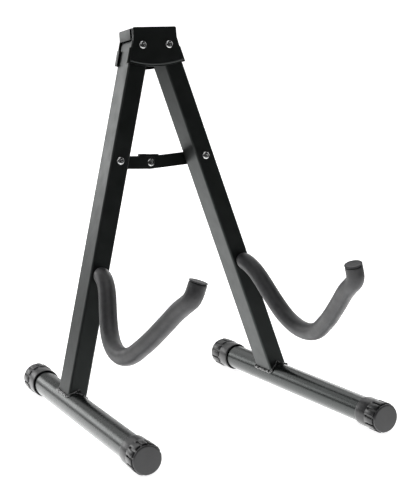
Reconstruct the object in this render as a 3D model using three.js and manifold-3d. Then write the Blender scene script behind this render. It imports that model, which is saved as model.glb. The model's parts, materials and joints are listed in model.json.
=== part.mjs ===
// Folding A-frame guitar stand: two rectangular-tube legs hang from a pressed
// steel hinge bracket, each welded to a round base tube that lies on the floor,
// each carrying a bent steel rod in a foam sleeve that cradles the guitar's
// body. Two flat links behind the legs lock the frame open just past centre.
//
// Millimetres, +Z up, the guitar rests on the -Y side, the origin is on the
// floor at the middle of the footprint. Inside the frame group, +Z runs up the
// leaning plane of the legs and -Y points out of that plane, to the front.

import * as THREE from 'three';
import { mergeVertices } from 'three/addons/utils/BufferGeometryUtils.js';
import Module from 'manifold-3d';

const wasm = await Module();
wasm.setup();

const degrees = THREE.MathUtils.degToRad;

// ---- driving dimensions -------------------------------------------------

const gap = 0.3;                      // clearance between neighbouring pieces
const baseSides = 24;                 // facets of the base tubes and caps
const screwSides = 14;
const rodSides = 8;
const rodSteps = 38;
const foamSides = 12;
const foamSteps = 30;
const plugSides = 16;
const cutLength = 200;                // longer than anything it cuts through
const lean = degrees(9.6);            // legs lean back from the vertical
const splay = degrees(16.3);          // each leg away from the middle when open

const pivotSpacing = 30;
const legWidth = 20;
const legDepth = 29;
const legWall = 1.5;
const legCorner = 2;
const legLength = 369;                // hinge pivot to base tube axis

const tubeRadius = 12.7;
const tubeWall = 1.5;
const frontReach = 196;               // leg axis to the front cap's face
const rearReach = 107;                // leg axis to the rear cap's face

const capFaceRadius = 13.9;
const capFaceChamfer = 1;
const capGroove = { radius: 13.5, end: 2.6 };
const capBand = { radius: 15.3, start: 3.4, end: 15.6 };
const capSleeve = { radius: 14.5, start: 16.6 };
const capLength = 32;
const capFloor = 2.2;

const linkDrop = 121;                 // hinge pivot to link bolt, along the leg
const linkSag = degrees(3.2);         // lock rests this far past centre
const linkHeight = 13.5;
const linkThickness = 2;
// The stop beside the rivet: its ear's two ends, the fold's inner end, and the
// height where the ear leaves the link.
const stop = { reach: 13, foldReach: 6, root: 10.5, bottom: 3, height: 2 };

const screwRadius = 2;
const holeRadius = 2.4;
const headRadius = 4;
const headHeight = 2;
const nutFlats = 7;
const nutHeight = 4;
const threadPast = 1;                 // thread showing past a nut
const washerRadius = 5.5;
const washerThickness = 1.5;
const bushRadius = 4.5;
const rivetHeadHeight = 1.4;
const rivetTailRadius = 3.6;

const sheet = 1.2;                    // bracket and cover steel
const bracketHalfTop = 24.9;
const bracketHalfFoot = 32.3;
const bracketTop = 17.5;
const flareTop = 8;
const bracketFoot = -17.6;
const bracketSag = -22;
const legClearance = 0.4;             // leg face to bracket wall
const flange = { front: 11.5, back: -15, bottom: 6.3 };
const lip = { top: -2, depth: 5 };
const cover = {
  halfTop: 24.6, top: 18.3, halfFoot: 30.2, foot: -15.2, sag: -19.6, corner: 1.6,
};
const weldBead = 2.2;

const rodRadius = 4;
const foamRadius = 8.5;
const foamBore = 5;
const armStart = 232.5;               // along the leg, where the rod leaves it
const armKnee = { drop: 4.5, out: 24, run: 30 };   // how it leaves the leg square and bends down
const armFall = degrees(37.8);        // rod angle from the leg, going down
const armFallLength = 79.6;
const cradleRadius = 52.9;
const armRise = degrees(119.6);
const armRiseLength = 99;
const kinkRadius = 15.6;
const armTip = degrees(166.3);
const armTipLength = 9.9;
const rodRoot = 8;                    // rod inside the leg, and short of the tip
const foamStart = 7;
const plugHead = 1.6;
const plugStem = { radius: 3.6, length: 6.5 };

// ---- derived dimensions ---------------------------------------------------

const tubeTilt = Math.atan(Math.tan(lean) / Math.cos(splay));   // tube lies level
const floorTurn = Math.asin(Math.sin(splay) * Math.cos(lean));  // down, seen along the tube
const boltX = pivotSpacing / 2 + linkDrop * Math.sin(splay);
const boltZ = -linkDrop * Math.cos(splay);
const linkLength = boltX / Math.cos(linkSag);
const legFront = legDepth / 2;
const wallFace = legFront + legClearance;
const coverBack = wallFace + sheet + gap;
const coverFront = coverBack + sheet;
const frontLayer = -(legFront + gap + washerThickness + gap + linkThickness);
const rearLayer = frontLayer - gap - linkThickness;

// ---- materials -----------------------------------------------------------

const finish = (color, roughness, metalness) =>
  new THREE.MeshStandardMaterial({ color, roughness, metalness });

const legPaint = finish(0x1c1e1e, 0.42, 0.25);
const tubePaint = finish(0x141716, 0.2, 0.35);
const zinc = finish(0xc9ccce, 0.25, 1);
const rawSteel = finish(0x8d9092, 0.4, 1);
const rubber = finish(0x4a4a4c, 0.62, 0);
const foam = finish(0x3d3d40, 0.9, 0);
const plugRubber = finish(0x4f5052, 0.7, 0);
const nylon = finish(0x1a1a1a, 0.5, 0);

// ---- helpers --------------------------------------------------------------

function solid(geometry) {
  const plain = geometry.index ? geometry.toNonIndexed() : geometry.clone();
  plain.deleteAttribute('normal');
  plain.deleteAttribute('uv');
  const merged = mergeVertices(plain, 1e-4);
  return new wasm.Manifold(new wasm.Mesh({
    numProp: 3,
    vertProperties: new Float32Array(merged.attributes.position.array),
    triVerts: new Uint32Array(merged.index.array),
  }));
}

function geometryOf(manifold) {
  const mesh = manifold.getMesh();
  const geometry = new THREE.BufferGeometry();
  geometry.setAttribute('position', new THREE.BufferAttribute(mesh.vertProperties, 3));
  geometry.setIndex(new THREE.BufferAttribute(mesh.triVerts, 1));
  return geometry;
}

function piece(name, geometry, material) {
  const mesh = new THREE.Mesh(geometry, material);
  mesh.name = name;
  return mesh;
}

// A plate standing in the XZ plane, from y = -start forward by its thickness.
function plate(shape, thickness, start, curveSegments = 12) {
  const geometry = new THREE.ExtrudeGeometry(
    shape, { depth: thickness, bevelEnabled: false, curveSegments });
  geometry.rotateX(Math.PI / 2);
  geometry.translate(0, -start, 0);
  return geometry;
}

function box(x0, x1, y0, y1, z0, z1) {
  const geometry = new THREE.BoxGeometry(x1 - x0, y1 - y0, z1 - z0);
  geometry.translate((x0 + x1) / 2, (y0 + y1) / 2, (z0 + z1) / 2);
  return geometry;
}

// A round bar along Y, centred on the given point of the XZ plane.
function bar(radius, length, x = 0, z = 0) {
  const geometry = new THREE.CylinderGeometry(radius, radius, length, screwSides);
  geometry.translate(x, 0, z);
  return geometry;
}

function roundedRectangle(width, depth, radius) {
  const shape = new THREE.Shape();
  const x = width / 2;
  const y = depth / 2;
  shape.moveTo(x, radius - y);
  shape.absarc(x - radius, y - radius, radius, 0, Math.PI / 2);
  shape.absarc(radius - x, y - radius, radius, Math.PI / 2, Math.PI);
  shape.absarc(radius - x, radius - y, radius, Math.PI, Math.PI * 1.5);
  shape.absarc(x - radius, radius - y, radius, Math.PI * 1.5, Math.PI * 2);
  return shape;
}

function circle(radius) {
  const shape = new THREE.Shape();
  shape.absarc(0, 0, radius, 0, Math.PI * 2);
  return shape;
}

function hole(x, y, radius) {
  const path = new THREE.Path();
  path.absarc(x, y, radius, 0, Math.PI * 2, true);
  return path;
}

const lathe = (profile, segments, start = 0) => new THREE.LatheGeometry(
  profile.map(([radius, y]) => new THREE.Vector2(radius, y)), segments, start);

// ---- leg ------------------------------------------------------------------
// In its own frame a leg hangs from the pivot at the origin down -Z. The same
// outline serves its outside and its bore.

function legEnvelope(wall) {
  const width = legWidth - 2 * wall;
  const radius = width / 2;
  const corner = Math.max(legCorner - wall, 0.5);
  const prism = new THREE.ExtrudeGeometry(
    roundedRectangle(width, legDepth - 2 * wall, corner),
    { depth: legLength + legWidth, bevelEnabled: false, curveSegments: 3 });
  prism.translate(0, 0, -legLength);
  const tongue = new THREE.Shape();
  tongue.moveTo(-radius, -legLength - 1);
  tongue.lineTo(radius, -legLength - 1);
  tongue.lineTo(radius, 0);
  tongue.absarc(0, 0, radius, 0, Math.PI);
  return solid(prism).intersect(solid(plate(tongue, legDepth * 2, -legDepth, 10)));
}

function baseRound(radius, length) {
  const cylinder = new THREE.CylinderGeometry(radius, radius, length, 36);
  cylinder.rotateX(tubeTilt);
  cylinder.translate(0, 0, -legLength);
  return solid(cylinder);
}

function legGeometry() {
  const screwHole = solid(bar(holeRadius, cutLength));
  const boltHole = solid(bar(holeRadius, cutLength, 0, -linkDrop));
  return geometryOf(legEnvelope(0)
    .subtract(legEnvelope(legWall))
    .subtract(baseRound(tubeRadius + gap, legDepth * 3))
    .subtract(screwHole)
    .subtract(boltHole));
}

// The weld bead is what lies near the leg's wall and near the tube's at once.
function footWeldGeometry() {
  const collar = (grow) => {
    const prism = new THREE.ExtrudeGeometry(
      roundedRectangle(legWidth + 2 * grow, legDepth + 2 * grow, legCorner + grow),
      { depth: tubeRadius * 2, bevelEnabled: false, curveSegments: 3 });
    prism.translate(0, 0, -legLength);
    return solid(prism);
  };
  return geometryOf(collar(weldBead)
    .subtract(collar(gap))
    .intersect(baseRound(tubeRadius + weldBead, legDepth * 3))
    .subtract(baseRound(tubeRadius + gap, legDepth * 4)));
}

function bushGeometry() {
  const half = legFront - legWall - gap;
  return lathe([
    [holeRadius, -half], [bushRadius, -half], [bushRadius, half],
    [holeRadius, half], [holeRadius, -half],
  ], screwSides);
}

// ---- base tube and end caps, along Y with the front at -Y -------------------

function tubeGeometry(facetTurn) {
  const front = capFloor + gap - frontReach;
  const rear = rearReach - capFloor - gap;
  const bore = tubeRadius - tubeWall;
  return lathe([
    [bore, front], [tubeRadius, front], [tubeRadius, rear], [bore, rear], [bore, front],
  ], baseSides, facetTurn);
}

// A cup with its closed face at y = 0: a rounded face, a groove, a raised band
// that stands on the floor, and a plain sleeve over the tube.
function capGeometry(facetTurn) {
  const bore = tubeRadius + gap;
  return lathe([
    [0, 0], [capFaceRadius - capFaceChamfer, 0], [capFaceRadius, capFaceChamfer],
    [capGroove.radius, capGroove.end], [capBand.radius, capBand.start],
    [capBand.radius, capBand.end], [capSleeve.radius, capSleeve.start],
    [capSleeve.radius, capLength],
    [bore, capLength], [bore, capFloor], [0, capFloor],
  ], baseSides, facetTurn);
}

// ---- arm ------------------------------------------------------------------
// The rod's centreline is drawn in the leg's own middle plane: first number
// down the leg, second number out of its front.

function armPath() {
  const heading = (angle) => new THREE.Vector2(Math.cos(angle), Math.sin(angle));
  const square = (angle) => new THREE.Vector2(-Math.sin(angle), Math.cos(angle));
  const path = new THREE.CurvePath();
  let end = new THREE.Vector2(armStart, legFront);
  const straight = (angle, length) => {
    const next = end.clone().addScaledVector(heading(angle), length);
    path.add(new THREE.LineCurve(end, next));
    end = next;
  };
  const bend = (from, to, radius) => {
    const centre = end.clone().addScaledVector(square(from), radius);
    path.add(new THREE.EllipseCurve(centre.x, centre.y, radius, radius,
      from - Math.PI / 2, to - Math.PI / 2));
    end = centre.clone().addScaledVector(square(to), -radius);
  };
  const root = end.clone().setX(armStart + armKnee.drop);
  end.addScaledVector(heading(armFall), armFallLength);
  path.add(new THREE.CubicBezierCurve(
    root, root.clone().setY(legFront + armKnee.out),
    end.clone().addScaledVector(heading(armFall), -armKnee.run), end.clone()));
  bend(armFall, armRise, cradleRadius);
  straight(armRise, armRiseLength);
  bend(armRise, armTip, kinkRadius);
  straight(armTip, armTipLength);
  return path;
}

const armLine = armPath();
const armLength = armLine.getLength();

// A stretch of the arm's line between two distances along it. Before its start
// it runs straight on into the leg.
class ArmStretch extends THREE.Curve {
  constructor(from, to) {
    super();
    this.from = from;
    this.to = to;
  }

  getPoint(t, target = new THREE.Vector3()) {
    const distance = this.from + t * (this.to - this.from);
    const point = armLine.getPointAt(Math.max(distance, 0) / armLength);
    point.y += Math.min(distance, 0);
    return target.set(0, -point.y, -point.x);
  }
}

function alongArm(shape, from, to, steps, curveSegments) {
  const swept = new THREE.ExtrudeGeometry(shape, {
    steps, curveSegments, bevelEnabled: false, extrudePath: new ArmStretch(from, to),
  });
  const behindLegFace = box(-legWidth * 2, legWidth * 2, -legFront - gap, legDepth * 2,
    -legLength, 0);
  return geometryOf(solid(swept).subtract(solid(behindLegFace)));
}

const rodGeometry = () => alongArm(
  circle(rodRadius), -rodRoot, armLength - rodRoot, rodSteps, rodSides / 2);

function foamGeometry() {
  const ring = circle(foamRadius);
  ring.holes.push(hole(0, 0, foamBore));
  return alongArm(ring, foamStart, armLength - plugHead - gap, foamSteps, foamSides / 2);
}

// A mushroom plug: its stem in the foam's bore, its head over the foam's end.
function plugGeometry() {
  const profile = [
    [0, -plugStem.length], [plugStem.radius, -plugStem.length],
    [plugStem.radius, -plugHead], [foamRadius - 0.4, -plugHead],
    [foamRadius + 0.2, -0.9], [foamRadius - 0.2, 0], [0, -0.5],
  ];
  const geometry = lathe(profile, plugSides);
  const end = new ArmStretch(0, armLength).getPoint(1);
  geometry.rotateX(Math.PI * 1.5 - armTip);
  geometry.translate(end.x, end.y, end.z);
  return geometry;
}

// ---- fasteners, along Y with the head at the front --------------------------

// The underside of the head is at y = 0 and the shank runs back to its length.
function screwGeometry(length) {
  return lathe([
    [0, length], [screwRadius, length], [screwRadius, 0], [headRadius, 0],
    [headRadius, -0.5], [headRadius * 0.85, -1.3], [headRadius * 0.5, -1.8], [0, -headHeight],
  ].reverse(), screwSides);
}

function nutGeometry() {
  const corner = nutFlats / Math.sqrt(3);
  const hexagon = new THREE.Shape([0, 1, 2, 3, 4, 5].map((side) => new THREE.Vector2(
    corner * Math.cos(side * Math.PI / 3), corner * Math.sin(side * Math.PI / 3))));
  hexagon.holes.push(hole(0, 0, holeRadius));
  return plate(hexagon, nutHeight, 0, 6);
}

const washerGeometry = (thickness) => lathe([
  [holeRadius, 0], [washerRadius, 0], [washerRadius, thickness],
  [holeRadius, thickness], [holeRadius, 0],
], screwSides);

// ---- hinge bracket and its front cover -------------------------------------

function flaredOutline(halfTop, top, halfFoot, foot, sag, corner) {
  const outline = new THREE.Shape();
  outline.moveTo(-halfTop + corner, top);
  outline.quadraticCurveTo(-halfTop, top, -halfTop, top - corner);
  outline.lineTo(-halfTop, flareTop);
  outline.lineTo(-halfFoot, foot);
  outline.quadraticCurveTo(0, 2 * sag - foot, halfFoot, foot);
  outline.lineTo(halfTop, flareTop);
  outline.lineTo(halfTop, top - corner);
  outline.quadraticCurveTo(halfTop, top, halfTop - corner, top);
  outline.lineTo(-halfTop + corner, top);
  for (const side of [-1, 1]) {
    outline.holes.push(hole(side * pivotSpacing / 2, 0, holeRadius));
  }
  return outline;
}

function bracketGeometry() {
  const wall = flaredOutline(
    bracketHalfTop, bracketTop, bracketHalfFoot, bracketFoot, bracketSag, 0.2);
  const outside = wallFace + sheet;
  const flareX = (z) => bracketHalfTop
    + (bracketHalfFoot - bracketHalfTop) * (flareTop - z) / (flareTop - bracketFoot);
  let bracket = solid(plate(wall, sheet, wallFace))
    .add(solid(plate(wall, sheet, -outside)))
    .add(solid(box(-bracketHalfTop, bracketHalfTop, -outside + 0.1, outside - 0.1,
      bracketTop - sheet, bracketTop - 0.1)));
  for (const side of [-1, 1]) {
    const flangeX = [side * bracketHalfTop, side * (bracketHalfTop - sheet)];
    bracket = bracket.add(solid(box(
      Math.min(...flangeX), Math.max(...flangeX), -flange.front, -flange.back,
      flange.bottom, bracketTop - 0.3)));
    const lipShape = new THREE.Shape([
      new THREE.Vector2(side * flareX(lip.top), lip.top),
      new THREE.Vector2(side * flareX(bracketFoot), bracketFoot),
      new THREE.Vector2(side * (flareX(bracketFoot) - sheet), bracketFoot),
      new THREE.Vector2(side * (flareX(lip.top) - sheet), lip.top),
    ]);
    bracket = bracket
      .add(solid(plate(lipShape, lip.depth, outside - 0.1 - lip.depth)))
      .add(solid(plate(lipShape, lip.depth, 0.1 - outside)));
  }
  return geometryOf(bracket);
}

const coverGeometry = () => plate(flaredOutline(
  cover.halfTop, cover.top, cover.halfFoot, cover.foot, cover.sag, cover.corner,
), sheet, coverBack);

// ---- lock links -------------------------------------------------------------
// Each is drawn from its bolt at the origin towards the middle, along +X.

function linkShape() {
  const radius = linkHeight / 2;
  const shape = new THREE.Shape();
  shape.moveTo(0, -radius);
  shape.lineTo(linkLength, -radius);
  shape.absarc(linkLength, 0, radius, -Math.PI / 2, Math.PI / 2);
  shape.lineTo(0, radius);
  shape.absarc(0, 0, radius, Math.PI / 2, Math.PI * 1.5);
  shape.holes.push(hole(0, 0, holeRadius));
  shape.holes.push(hole(linkLength, 0, holeRadius));
  return shape;
}

const leftLinkGeometry = () => plate(linkShape(), linkThickness, frontLayer, 8);

// The right link carries the stop: an ear folded forward over the left link's
// top edge, which keeps the pair from sagging further.
function rightLinkGeometry() {
  const stopLow = linkHeight / 2 + gap;
  const stopHigh = stopLow + stop.height;
  const turned = (geometry) => {
    geometry.rotateY(-2 * linkSag);
    geometry.translate(linkLength, 0, 0);
    return solid(geometry);
  };
  const ear = box(-stop.root, stop.reach,
    -rearLayer - linkThickness, -rearLayer, stop.bottom, stopHigh);
  const fold = box(stop.foldReach, stop.reach,
    -frontLayer - linkThickness, -rearLayer, stopLow, stopHigh);
  const rivetHole = bar(holeRadius, cutLength, linkLength);
  const link = solid(plate(linkShape(), linkThickness, rearLayer, 8))
    .add(turned(ear))
    .add(turned(fold))
    .subtract(solid(rivetHole));
  return geometryOf(link.mirror([1, 0, 0]));
}

// The rivet at the middle is made as two halves, one in each link.
function rivetHeadGeometry() {
  const shank = linkThickness + gap;
  return lathe([
    [0, -rivetHeadHeight], [headRadius * 0.55, -rivetHeadHeight * 0.9],
    [headRadius * 0.9, -rivetHeadHeight / 2], [headRadius, 0], [screwRadius, 0],
    [screwRadius, shank], [0, shank],
  ], screwSides);
}

function rivetTailGeometry() {
  const shank = -linkThickness - gap;
  return lathe([
    [0, shank], [screwRadius, shank], [screwRadius, 0], [rivetTailRadius, 0],
    [rivetTailRadius * 0.9, 1], [0, 1.4],
  ], screwSides);
}

// ---- assembly ---------------------------------------------------------------

function placed(mesh, x, n, z) {
  mesh.position.set(x, -n, z);
  return mesh;
}

function legAssembly(side, name) {
  const leg = new THREE.Group();
  leg.position.x = side * pivotSpacing / 2;
  leg.rotation.y = -side * splay;
  leg.add(piece(`${name}_leg`, legGeometry(), legPaint));
  leg.add(piece(`${name}_foot_weld`, footWeldGeometry(), legPaint));
  leg.add(piece(`${name}_hinge_bush`, bushGeometry(), rawSteel));
  leg.add(placed(piece(`${name}_link_bush`, bushGeometry(), rawSteel), 0, 0, -linkDrop));
  leg.add(piece(`${name}_arm_rod`, rodGeometry(), legPaint));
  leg.add(piece(`${name}_arm_foam`, foamGeometry(), foam));
  leg.add(piece(`${name}_arm_plug`, plugGeometry(), plugRubber));

  const base = new THREE.Group();
  base.position.z = -legLength;
  base.rotation.x = tubeTilt;
  const facetTurn = -side * (Math.PI - floorTurn) - Math.PI / baseSides;
  base.add(piece(`${name}_base_tube`, tubeGeometry(facetTurn), tubePaint));
  base.add(placed(piece(`${name}_front_cap`, capGeometry(facetTurn), rubber),
    0, frontReach, 0));
  const rearCap = piece(`${name}_rear_cap`, capGeometry(-facetTurn), rubber);
  rearCap.rotation.z = Math.PI;
  base.add(placed(rearCap, 0, -rearReach, 0));
  leg.add(base);

  const boltSeat = legFront + gap;
  const stackEnd = side < 0 ? frontLayer : rearLayer;
  const nutFront = stackEnd - gap;
  const boltLength = boltSeat - nutFront + nutHeight + threadPast;
  leg.add(placed(piece(`${name}_link_bolt`, screwGeometry(boltLength), zinc),
    0, boltSeat, -linkDrop));
  leg.add(placed(piece(`${name}_link_washer`, washerGeometry(washerThickness), nylon),
    0, -boltSeat, -linkDrop));
  leg.add(placed(piece(`${name}_link_nut`, nutGeometry(), zinc),
    0, nutFront - nutHeight, -linkDrop));
  if (side > 0) {
    leg.add(placed(piece('right_link_spacer', washerGeometry(linkThickness), rawSteel),
      0, frontLayer + linkThickness, -linkDrop));
  }
  return leg;
}

function headAssembly() {
  const head = new THREE.Group();
  head.add(piece('hinge_bracket', bracketGeometry(), legPaint));
  head.add(piece('hinge_front_cover', coverGeometry(), legPaint));
  const seat = coverFront + gap;
  const nutFront = -(wallFace + sheet + gap);
  for (const [side, name] of [[-1, 'left'], [1, 'right']]) {
    const x = side * pivotSpacing / 2;
    const screw = screwGeometry(seat - nutFront + nutHeight + threadPast);
    head.add(placed(piece(`${name}_hinge_screw`, screw, zinc), x, seat, 0));
    head.add(placed(piece(`${name}_hinge_nut`, nutGeometry(), zinc),
      x, nutFront - nutHeight, 0));
  }
  return head;
}

function lockAssembly() {
  const lock = new THREE.Group();
  const left = piece('left_lock_link', leftLinkGeometry(), legPaint);
  left.position.set(-boltX, 0, boltZ);
  left.rotation.y = linkSag;
  const right = piece('right_lock_link', rightLinkGeometry(), legPaint);
  right.position.set(boltX, 0, boltZ);
  right.rotation.y = -linkSag;
  const middleZ = boltZ - linkLength * Math.sin(linkSag);
  lock.add(left, right);
  lock.add(placed(piece('lock_rivet_head', rivetHeadGeometry(), zinc),
    0, frontLayer + linkThickness + gap, middleZ));
  lock.add(placed(piece('lock_rivet_tail', rivetTailGeometry(), zinc),
    0, rearLayer - gap, middleZ));
  return lock;
}

const frame = new THREE.Group();
frame.rotation.x = -lean;
frame.add(headAssembly(), legAssembly(-1, 'left'), legAssembly(1, 'right'), lockAssembly());

// Stand it on the floor with the origin at the middle of its footprint.
const stand = new THREE.Group();
stand.add(frame);
stand.updateMatrixWorld(true);
const extent = new THREE.Box3().setFromObject(stand, true);
frame.position.set(
  -(extent.min.x + extent.max.x) / 2, -(extent.min.y + extent.max.y) / 2, -extent.min.z);

export default stand;
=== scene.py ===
import json
import math

import bmesh
import bpy
from mathutils import Matrix, Vector, noise


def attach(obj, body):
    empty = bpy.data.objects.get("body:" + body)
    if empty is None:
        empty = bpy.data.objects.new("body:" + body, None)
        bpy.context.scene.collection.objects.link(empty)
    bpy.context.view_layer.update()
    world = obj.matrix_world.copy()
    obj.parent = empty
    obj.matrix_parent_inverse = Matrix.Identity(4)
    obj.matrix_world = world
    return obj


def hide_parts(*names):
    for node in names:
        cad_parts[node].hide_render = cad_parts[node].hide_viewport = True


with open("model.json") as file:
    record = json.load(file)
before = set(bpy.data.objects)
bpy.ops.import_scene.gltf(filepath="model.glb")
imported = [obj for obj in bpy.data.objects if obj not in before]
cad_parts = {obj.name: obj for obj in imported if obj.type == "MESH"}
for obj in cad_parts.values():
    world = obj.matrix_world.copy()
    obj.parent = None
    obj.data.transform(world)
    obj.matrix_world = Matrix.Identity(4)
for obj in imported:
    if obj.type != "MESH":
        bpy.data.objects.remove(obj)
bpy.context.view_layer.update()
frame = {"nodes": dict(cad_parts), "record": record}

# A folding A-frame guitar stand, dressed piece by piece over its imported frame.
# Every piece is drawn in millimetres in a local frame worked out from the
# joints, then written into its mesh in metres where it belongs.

MM = 0.001
RIGHT_ANGLE = math.pi / 2

# ---- sizes of the stand, in millimetres --------------------------------------

LEG_WIDTH = 20.0
LEG_DEPTH = 29.0
LEG_FRONT = LEG_DEPTH / 2
LEG_CORNER = 2.0
LEG_LENGTH = 369.0
TUBE_RADIUS = 12.7
TUBE_BORE = 11.2
ROUND = 96
FRONT_REACH = 196.0
REAR_REACH = 107.0
CAP_LENGTH = 32.0
CAP_FLOOR = 2.2
BAND_RADIUS = 15.2
SLEEVE_RADIUS = 14.5
FACE_RADIUS = 13.9
PIVOT_SPACING = 30.0
LINK_DROP = 121.0
LINK_SAG = math.radians(3.2)
LINK_HALF_HEIGHT = 6.75
LINK_THICKNESS = 2.0
SHEET = 1.2
GAP = 0.3
WASHER_THICKNESS = 1.5
WALL_FACE = LEG_FRONT + 0.4
WALL_OUTSIDE = WALL_FACE + SHEET
COVER_BACK = WALL_OUTSIDE + GAP
COVER_FRONT = COVER_BACK + SHEET
FRONT_LAYER = LEG_FRONT + GAP + WASHER_THICKNESS + GAP
REAR_LAYER = FRONT_LAYER + LINK_THICKNESS + GAP

ARM_START = 232.5
ARM_FALL = math.radians(37.8)
ARM_RISE = math.radians(119.6)
ARM_TIP = math.radians(166.3)
ARM_LEGS = (79.6, 99.0, 9.9)
ARM_BENDS = (52.9, 15.6)
KNEE_DROP = 4.5
KNEE_OUT = 24.0
KNEE_RUN = 30.0
ROD_RADIUS = 4.0
FOAM_RADIUS = 8.5
TOE_IN = 1.6

# ---- local frames, from the joints -------------------------------------------

joints = {joint["name"]: joint for joint in frame["record"]["behaviour"]["joints"]}
pivots = {side: Vector(joints[f"{side}_leg_fold"]["pos_m"]) for side in ("left", "right")}
forward = Vector(joints["left_leg_fold"]["axis"]).normalized()


def linked(name, data):
    """A new object in the scene for this data."""
    made = bpy.data.objects.new(name, data)
    bpy.context.collection.objects.link(made)
    return made


def local_frame(origin, x_axis):
    """A millimetre frame at origin: +Y to the back, +X along x_axis, +Z up the stand."""
    y_axis = -forward
    z_axis = x_axis.cross(y_axis).normalized()
    x_axis = y_axis.cross(z_axis)
    turn = Matrix((x_axis, y_axis, z_axis)).transposed().to_4x4()
    return Matrix.Translation(origin) @ turn @ Matrix.Scale(MM, 4)


def leg_frame(side):
    """The leg's own frame: the hinge pivot at its origin and the leg down -Z."""
    down = Vector(joints[f"{side}_link_fold"]["pos_m"]) - pivots[side]
    down = (down - forward * down.dot(forward)).normalized()
    return local_frame(pivots[side], (-forward).cross(-down))


def turned(angle, axis):
    return Matrix.Rotation(angle, 4, axis)


def shifted(x=0.0, front=0.0, z=0.0):
    """A move by x, towards the front, and up."""
    return Matrix.Translation((x, -front, z))


LEG = {side: leg_frame(side) for side in ("left", "right")}
hinge = (pivots["left"] + pivots["right"]) / 2
HEAD = local_frame(hinge, Vector((1, 0, 0)))
lean = math.asin(forward.z)
splay = math.acos(LEG["left"].to_3x3().col[0].normalized().dot(Vector((1, 0, 0))))
TUBE_TILT = math.atan(math.tan(lean) / math.cos(splay))
BASE = {side: LEG[side] @ shifted(z=-LEG_LENGTH) @ turned(TUBE_TILT, "X") for side in LEG}
BOLT_X = PIVOT_SPACING / 2 + LINK_DROP * math.sin(splay)
BOLT_Z = -LINK_DROP * math.cos(splay)
LINK_LENGTH = BOLT_X / math.cos(LINK_SAG)
MIDDLE_Z = BOLT_Z - LINK_LENGTH * math.sin(LINK_SAG)

# ---- camera ------------------------------------------------------------------

# The eye's place is in metres from the middle of the hinge.
EYE = Vector((-0.6527, -1.3396, 0.0682))
EYE_TURN = math.radians(28.36)
EYE_DROP = math.radians(10.73)
LENS = 123.2


def make_camera():
    """A long lens at the front left, tipped down at the stand."""
    data = bpy.data.cameras.new("camera")
    data.sensor_fit = "HORIZONTAL"
    data.sensor_width = 36.0
    data.lens = LENS
    data.clip_end = 20.0
    camera = linked("camera", data)
    camera.location = hinge + EYE
    camera.rotation_euler = (RIGHT_ANGLE - EYE_DROP, 0.0, -EYE_TURN)
    bpy.context.scene.camera = camera


# ---- mesh helpers ------------------------------------------------------------


def loft(rings, close=False):
    """A skin through rings of points, closed in a loop or with a cap at each end."""
    bm = bmesh.new()
    rows = [[bm.verts.new(point) for point in ring] for ring in rings]
    pairs = list(zip(rows, rows[1:]))
    if close:
        pairs.append((rows[-1], rows[0]))
    for low, high in pairs:
        count = len(low)
        for i in range(count):
            bm.faces.new((low[i], low[(i + 1) % count], high[(i + 1) % count], high[i]))
    if not close:
        bm.faces.new(list(reversed(rows[0])))
        bm.faces.new(rows[-1])
    bmesh.ops.recalc_face_normals(bm, faces=bm.faces)
    return bm


def ring_y(radius, y, segments, shape=None):
    """A ring round the Y axis. shape scales its radius by the angle."""
    points = []
    for i in range(segments):
        angle = 2 * math.pi * i / segments
        reach = radius * (shape(angle) if shape else 1.0)
        points.append((reach * math.sin(angle), y, reach * math.cos(angle)))
    return points


def lathe(profile, segments=64, close=False):
    """A turned piece round the Y axis from (radius, y) pairs."""
    return loft([ring_y(radius, y, segments) for radius, y in profile], close=close)


def arc(centre, radius, start, end, steps):
    """Points (first, second) along an arc, angles in degrees."""
    angles = [math.radians(start + (end - start) * i / steps) for i in range(steps + 1)]
    return [(centre[0] + radius * math.cos(a), centre[1] + radius * math.sin(a)) for a in angles]


def loose_object(name, bm):
    """An object made from bm, which is freed."""
    data = bpy.data.meshes.new(name)
    bm.to_mesh(data)
    bm.free()
    return linked(name, data)


def smooth(piece, angle):
    """Smooth shading, with edges sharper than this many degrees left hard."""
    piece.data.shade_smooth()
    piece.data.set_sharp_from_angle(angle=math.radians(angle))


def finish_piece(name, bm, place, material, body, node, sharp=40.0):
    """Writes bm into the scene as a named piece that stands for a CAD node."""
    bmesh.ops.transform(bm, matrix=place, verts=bm.verts)
    piece = loose_object(name, bm)
    dress(piece, material, body, node)
    smooth(piece, sharp)
    return piece


def dress(piece, material, body, node):
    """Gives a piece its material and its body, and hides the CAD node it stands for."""
    piece.data.materials.clear()
    piece.data.materials.append(material)
    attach(piece, body)
    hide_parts(node)


def plain_mesh(source, name):
    """The evaluated object as a plain mesh object; the source is removed."""
    graph = bpy.context.evaluated_depsgraph_get()
    data = bpy.data.meshes.new_from_object(source.evaluated_get(graph))
    data.name = name
    piece = linked(name, data)
    bpy.data.objects.remove(source)
    return piece


def bevel(piece, width, angle=40.0):
    """Rounds the edges that are sharper than this many degrees."""
    modifier = piece.modifiers.new("edge", "BEVEL")
    modifier.width = width * MM
    modifier.segments = 2
    modifier.limit_method = "ANGLE"
    modifier.angle_limit = math.radians(angle)
    modifier.harden_normals = True
    modifier.miter_outer = modifier.miter_inner = "MITER_ARC"
    modifier.spread = 0.2 * width * MM


def thicken(piece):
    """Gives a pressed sheet its thickness, inwards from its outer skin."""
    modifier = piece.modifiers.new("sheet", "SOLIDIFY")
    modifier.thickness = SHEET * MM
    modifier.offset = -1.0
    modifier.use_even_offset = True


# ---- node helpers ------------------------------------------------------------


def add_node(tree, kind, inputs=None, **settings):
    """A node with its settings, its inputs set to values or linked to outputs."""
    made = tree.nodes.new(kind)
    for key, value in settings.items():
        setattr(made, key, value)
    for key, value in (inputs or {}).items():
        if isinstance(value, bpy.types.NodeSocket):
            tree.links.new(value, made.inputs[key])
        else:
            made.inputs[key].default_value = value
    return made


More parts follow.
